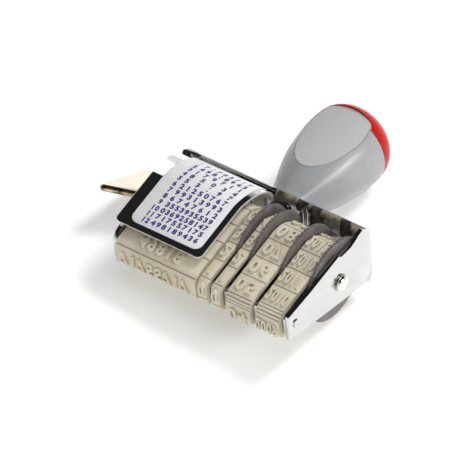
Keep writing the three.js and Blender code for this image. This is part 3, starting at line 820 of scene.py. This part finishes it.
HANDLE_PROFILE = [
    (5.3, 15.3), (5.5, 16.6), (6.0, 18.6), (7.4, 22), (9.1, 26.1), (10.2, 29.2), (11.1, 32.5), (12.0, 37.6),
    (12.4, 41), (12.5, 44), (12.45, 46),
]
CAP_PROFILE = [
    (12.45, CAP_Z), (12.2, 47.9), (11.65, 49.5), (10.8, 50.9), (9.5, 52.3), (7.7, 53.4), (5.5, 54.2),
    (3, 54.7), (0, 54.9),
]
HANDLE_SIDES = 200
ARCH_SIDES = 48
CUTTER_BOTTOM = 10.0                  # the cutters reach well past the handle each way
CUTTER_TOP = 60.0
CUTTER_DEPTH = 16
CUTTER_WIDTH = 20
GROOVE_RADIUS = 0.2
GROOVE_STEP = 0.4
PANEL_BOTTOM = 18.0                   # below the panels' lowest point
SEAM = 0.06                           # gap under the cap's lower edge
ARCH_SEAM = 0.07


def radius_curve(points, count):
    """A smooth curve through profile points."""
    pts = [np.array(p, float) for p in points]
    out = []
    for i in range(len(pts) - 1):
        p0, p1, p2, p3 = pts[max(i - 1, 0)], pts[i], pts[i + 1], pts[min(i + 2, len(pts) - 1)]
        for k in range(count):
            t = k / count
            out.append(0.5 * ((2 * p1) + (p2 - p0) * t + (2 * p0 - 5 * p1 + 4 * p2 - p3) * t ** 2
                              + (3 * p1 - p0 - 3 * p2 + p3) * t ** 3))
    out.append(pts[-1])
    return np.array(out)


def panel_y(x, z):
    """Distance of the panel's surface from the axis, at x from the handle's own centre."""
    return PANEL_DEPTH + PANEL_SLOPE * z - x * x / (2 * PANEL_CROWN_RADIUS)


def arch(grow):
    """(x, z) points along the line where the cap meets a panel, from right to left."""
    points = []
    for i in range(ARCH_SIDES + 1):
        angle = math.pi * i / ARCH_SIDES
        points.append((HANDLE_X + (ARCH_HALF_WIDTH + grow) * math.cos(angle),
                       CAP_Z + (ARCH_Z - CAP_Z + grow) * math.sin(angle)))
    return points


def prism_y(points):
    """A cutter with an (x, z) outline, right through the handle from front to rear."""
    builder = Builder()
    builder.rings([[(x, y, z) for x, z in points] for y in (-CUTTER_DEPTH, CUTTER_DEPTH)])
    return builder


def between_panels():
    """Everything between the two crowned, sloping panel surfaces."""
    across = [i * 0.5 for i in range(-30, 31)]
    builder = Builder()
    rings = []
    for z in (CUTTER_BOTTOM, CUTTER_TOP):
        front = [(HANDLE_X + x, -panel_y(x, z), z) for x in across]
        rear = [(HANDLE_X + x, panel_y(x, z), z) for x in reversed(across)]
        rings.append(front + rear)
    builder.rings(rings)
    return builder


def cut(piece, cutter, operation):
    """Applies one boolean and removes the cutter."""
    modifier = piece.modifiers.new("cut", "BOOLEAN")
    modifier.operation = operation
    modifier.object = cutter
    modifier.solver = "EXACT"
    bpy.context.view_layer.update()
    mesh = bpy.data.meshes.new_from_object(piece.evaluated_get(bpy.context.evaluated_depsgraph_get()))
    piece.modifiers.clear()
    old = piece.data
    piece.data = mesh
    bpy.data.meshes.remove(old)
    bpy.data.objects.remove(cutter)


def loose_object(name, builder, material):
    """An object with no body yet: a handle piece before its cuts, or a cutter."""
    mesh = bpy.data.meshes.new(name)
    mesh.from_pydata([tuple(v) for v in builder.verts], [], builder.faces)
    mesh.transform(STAMP)
    tidy_normals(mesh)
    mesh.materials.append(material)
    obj = bpy.data.objects.new(name, mesh)
    bpy.context.scene.collection.objects.link(obj)
    return obj


def panel_edge(profile, side):
    """Points round one panel where it meets the turned shape, from one side of the cap to the other."""
    heights = np.linspace(PANEL_BOTTOM, CAP_Z + 0.4, 1200)
    radius = np.interp(heights, profile[:, 1], profile[:, 0])
    half = np.zeros(len(heights))
    for i, (r, z) in enumerate(zip(radius, heights)):
        across = np.linspace(0, r, 400)
        outside = np.sqrt(np.maximum(r * r - across ** 2, 0)) > panel_y(across, z)
        half[i] = across[outside].max() if outside.any() else -1.0
    low = int(np.argmax(half >= 0))
    right = [(half[i], heights[i]) for i in range(low, len(heights))]
    steps = [right[0]]
    for point in right:
        if math.dist(point, steps[-1]) > GROOVE_STEP:
            steps.append(point)
    outline = [(-x, z) for x, z in reversed(steps)] + steps[1:]
    return [(HANDLE_X + x, side * panel_y(x, z), z) for x, z in outline]


def groove(points):
    """A round cutter along a line of points."""
    path = [np.array(p) for p in points]
    rings = []
    for i, p in enumerate(path):
        along = path[min(i + 1, len(path) - 1)] - path[max(i - 1, 0)]
        along /= np.linalg.norm(along)
        out = np.cross(along, (0, 1, 0))
        out /= np.linalg.norm(out)
        up = np.cross(out, along)
        angles = [2 * math.pi * k / 10 for k in range(10)]
        rings.append([tuple(p + GROOVE_RADIUS * (math.cos(a) * out + math.sin(a) * up)) for a in angles])
    builder = Builder()
    builder.rings(rings)
    return builder


def handle_body(profile):
    """The turned grey body: cut flat by the panels, arched at the top, with a groove round each panel."""
    builder = Builder()
    builder.rings(lathe_z([tuple(p) for p in profile], HANDLE_SIDES, HANDLE_X))
    body = loose_object("handle_body_fine", builder, HANDLE)
    cut(body, loose_object("cutter", between_panels(), HANDLE), "INTERSECT")
    right, left = HANDLE_X + CUTTER_WIDTH, HANDLE_X - CUTTER_WIDTH
    outline = [(right, CUTTER_BOTTOM), (right, CAP_Z)] + arch(0.0) + [(left, CAP_Z), (left, CUTTER_BOTTOM)]
    cut(body, loose_object("cutter", prism_y(outline), HANDLE), "INTERSECT")
    for side in (-1, 1):
        cut(body, loose_object("cutter", groove(panel_edge(profile, side)), HANDLE), "DIFFERENCE")
    body.data.materials.append(PANEL)
    for face in body.data.polygons:
        x, y, z = STAMP.inverted() @ face.center
        if abs(abs(y) - panel_y(x - HANDLE_X, z)) < 0.03:
            face.material_index = 1
    shade(body.data, 24)
    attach(body, "root")
    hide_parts("handle_body")


def handle_cap(profile):
    """The turned red cap, open where the body's two arches stand in it."""
    edge = [(CAP_PROFILE[0][0], CAP_Z + SEAM)] + [tuple(p) for p in profile[1:-1]]
    builder = Builder()
    builder.rings(lathe_z([(r, z + SEAM) for r, z in edge], HANDLE_SIDES, HANDLE_X))
    cap = loose_object("handle_cap_fine", builder, CAP)
    reach = ARCH_HALF_WIDTH + ARCH_SEAM
    below = CAP_Z - 2
    outline = [(HANDLE_X + reach, below)] + arch(ARCH_SEAM) + [(HANDLE_X - reach, below)]
    cut(cap, loose_object("cutter", prism_y(outline), CAP), "DIFFERENCE")
    shade(cap.data, 40)
    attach(cap, "root")
    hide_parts("handle_cap")


def handle():
    lower = radius_curve(HANDLE_PROFILE, 9)
    upper = radius_curve(CAP_PROFILE, 8)
    handle_body(np.vstack([lower[:-1], upper[:-1]]))
    handle_cap(upper)


handle()


# ---- thumb-turn ----

KNOB_ANGLE = math.radians(24)
BLADE_DOWN = np.array([0, -math.sin(KNOB_ANGLE), -math.cos(KNOB_ANGLE)])
BLADE_NORMAL = np.cross([1, 0, 0], BLADE_DOWN)
BLADE_HALF = 1.0                      # half its thickness, and the radius of its rim
BLADE_OUTLINE = [(-31.4, 1.7), (-44.6, 9.9), (-44.6, -14.3), (-31.4, -2.7)]
BLADE_CORNER = 1.15
RIM_STEPS = 8
HUB_PROFILE = [
    (-32.4, 0.01), (-32.4, 1.9), (-29.35, 1.9), (-29.35, 2.9), (-29.6, 3.2),
    (-32.3, 3.2), (-32.8, 2.9), (-32.95, 2.2), (-32.95, 0.01),
]
RIM_FACE = 2.0e-5                     # the blade's two flat faces are larger than this, in square metres


def rounded_polygon(corners, radius, steps):
    """Points round a polygon with each corner turned at radius, and the outward normal at each."""
    points = []
    n = len(corners)
    for i in range(n):
        p, a, b = (np.array(corners[k % n], float) for k in (i, i - 1, i + 1))
        to_a = (a - p) / np.linalg.norm(a - p)
        to_b = (b - p) / np.linalg.norm(b - p)
        half = math.acos(float(np.clip(to_a @ to_b, -1, 1))) / 2
        middle = (to_a + to_b) / np.linalg.norm(to_a + to_b)
        centre = p + middle * radius / math.sin(half)
        start = -np.array([to_a[1], -to_a[0]])
        end = np.array([to_b[1], -to_b[0]])
        if start @ middle > 0:
            start, end = -start, -end
        a0 = math.atan2(start[1], start[0])
        turn = math.atan2(end[1], end[0]) - a0
        turn = (turn + math.pi) % (2 * math.pi) - math.pi
        for k in range(steps + 1):
            angle = a0 + turn * k / steps
            normal = np.array([math.cos(angle), math.sin(angle)])
            points.append((centre + normal * radius, normal))
    return points


def thumb_turn():
    """A fan-shaped blade with a full-round rim, and the hub that holds it on the rod."""
    outline = rounded_polygon(BLADE_OUTLINE, BLADE_CORNER, 6)

    def ring(inset, height):
        made = []
        for point, normal in outline:
            x, r = point - normal * inset
            spot = BLADE_DOWN * r + BLADE_NORMAL * height
            made.append((x, spot[1], spot[2]))
        return made
    angles = [math.pi * k / RIM_STEPS for k in range(RIM_STEPS + 1)]
    builder = Builder()
    builder.rings([ring(BLADE_HALF * (1 - math.sin(a)), BLADE_HALF * math.cos(a)) for a in angles])
    builder.rings(lathe_x(HUB_PROFILE, 48))
    piece = new_piece("thumb_turn_fine", builder.verts, builder.faces, NICKEL,
                      "phrase_drive", 30)
    piece.data.materials.append(RIM_PAINTED_REFLECTION)
    for face in piece.data.polygons:
        across = TURN.inverted() @ face.normal
        # small faces that don't face the blade's sides, the rim's and the hub's, take the
        # painted-reflection rim material
        if abs(across.dot(BLADE_NORMAL)) < 0.86 and face.area < RIM_FACE:
            face.material_index = 1
    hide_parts("thumb_turn")


thumb_turn()


# ---- carried-over CAD nodes ----

SMALL_STEEL = [
    "plate_rivet_left", "plate_rivet_right", "phrase_drum_pin", "thumb_turn_pin", "thumb_turn_washer",
    "left_spacer", "right_thrust_washer", "handle_screw", "handle_screw_washer",
]


def finish_node(name, material, edge):
    """Gives a CAD node its material and softly broken edges."""
    obj = NODES[name]
    obj.data.materials.clear()
    obj.data.materials.append(material)
    weld = obj.modifiers.new("weld", "WELD")
    weld.merge_threshold = 0.000002
    if edge:
        bevel = obj.modifiers.new("bevel", "BEVEL")
        bevel.limit_method = "ANGLE"
        bevel.angle_limit = math.radians(28)
        bevel.width = edge * MM
        bevel.segments = 2
        bevel.use_clamp_overlap = True
    shade(obj.data, 30)


for name in ("frame_shell", "separator_lug"):
    finish_node(name, CHROME, 0.14)
finish_node("axle_rod", ROD, 0.0)
finish_node("type_bar", STEEL, 0.1)
for name in SMALL_STEEL:
    finish_node(name, STEEL, 0.05)
finish_node("phrase_drum", WHEEL, 0.0)


# ---- stage: floor, light, camera ----

FLOOR_REACH = 3.0                     # metres from the middle to each side


def floor():
    a = FLOOR_REACH
    mesh = bpy.data.meshes.new("floor")
    mesh.from_pydata([(-a, -a, 0), (a, -a, 0), (a, a, 0), (-a, a, 0)], [], [(0, 1, 2, 3)])
    obj = bpy.data.objects.new("floor", mesh)
    bpy.context.scene.collection.objects.link(obj)
    material, shader = new_material("floor_white", (0.92, 0.92, 0.92), 0.9)
    shader.inputs["Specular IOR Level"].default_value = 0.1
    shader.inputs["Emission Color"].default_value = (1, 1, 1, 1)
    shader.inputs["Emission Strength"].default_value = 0.22
    mesh.materials.append(material)


def area_light(name, place, target, size, power, glossy=True):
    data = bpy.data.lights.new(name, "AREA")
    data.shape = "RECTANGLE"
    data.size, data.size_y = size
    data.energy = power
    obj = bpy.data.objects.new(name, data)
    obj.location = place
    obj.rotation_euler = (Vector(target) - Vector(place)).to_track_quat("-Z", "Y").to_euler()
    obj.visible_glossy = glossy
    bpy.context.scene.collection.objects.link(obj)


def world():
    """White low down and nearly black overhead, so that the chrome has something dark to mirror."""
    made = bpy.data.worlds.new("studio")
    bpy.context.scene.world = made
    made.use_nodes = True
    nodes = made.node_tree.nodes
    link = made.node_tree.links.new
    background = nodes["Background"]
    coords = nodes.new("ShaderNodeTexCoord")
    split = nodes.new("ShaderNodeSeparateXYZ")
    link(coords.outputs["Generated"], split.inputs["Vector"])
    shades = nodes.new("ShaderNodeValToRGB")
    link(split.outputs["Z"], shades.inputs["Fac"])
    elements = shades.color_ramp.elements
    elements[0].position = 0.30
    elements[0].color = (1, 1, 1, 1)
    elements[1].position = 0.52
    elements[1].color = (0.02, 0.02, 0.02, 1)
    link(shades.outputs["Color"], background.inputs["Color"])
    background.inputs["Strength"].default_value = 0.9


CAMERA_LENS = 319.4
CAMERA_PLACE = (509.4, -725.3, -618.1)
CAMERA_RIGHT = (0.7990, 0.0593, 0.5984)
CAMERA_DOWN = (0.3661, 0.7415, -0.5623)
CAMERA_FORWARD = (-0.4771, 0.6684, 0.5707)


def camera():
    """A long lens from the front, right and above, placed in the stamp's own frame."""
    data = bpy.data.cameras.new("camera")
    data.sensor_width = 36
    data.lens = CAMERA_LENS
    data.clip_start = 0.05
    data.clip_end = 20
    obj = bpy.data.objects.new("camera", data)
    bpy.context.scene.collection.objects.link(obj)
    right = TURN @ Vector(CAMERA_RIGHT)
    down = TURN @ Vector(CAMERA_DOWN)
    forward = TURN @ Vector(CAMERA_FORWARD)
    place = STAMP @ Vector(CAMERA_PLACE)
    axes = Matrix((right, -down, -forward)).transposed().to_4x4()
    obj.matrix_world = Matrix.Translation(place) @ axes.to_quaternion().to_matrix().to_4x4()
    bpy.context.scene.camera = obj


floor()
world()
camera()
area_light("key", (0.16, 0.46, 0.62), (0, 0, 0), (0.3, 0.3), 4.3, glossy=False)
area_light("overhead", (0.0, 0.0, 0.8), (0, 0, 0), (0.9, 0.9), 2.2, glossy=False)
area_light("right_box", (0.72, 0.12, 0.36), (0, 0, 0.01), (0.3, 0.34), 0.75)
area_light("handle_streak", (0.55, 0.08, 0.29), (0.01, 0.04, 0.01), (0.36, 0.035), 1.1)
area_light("front_fill", (0.2, -0.8, 0.35), (0, 0, 0.01), (0.6, 0.3), 1.6, glossy=False)
bpy.context.scene.view_settings.view_transform = "Standard"
bpy.context.scene.view_settings.look = "None"
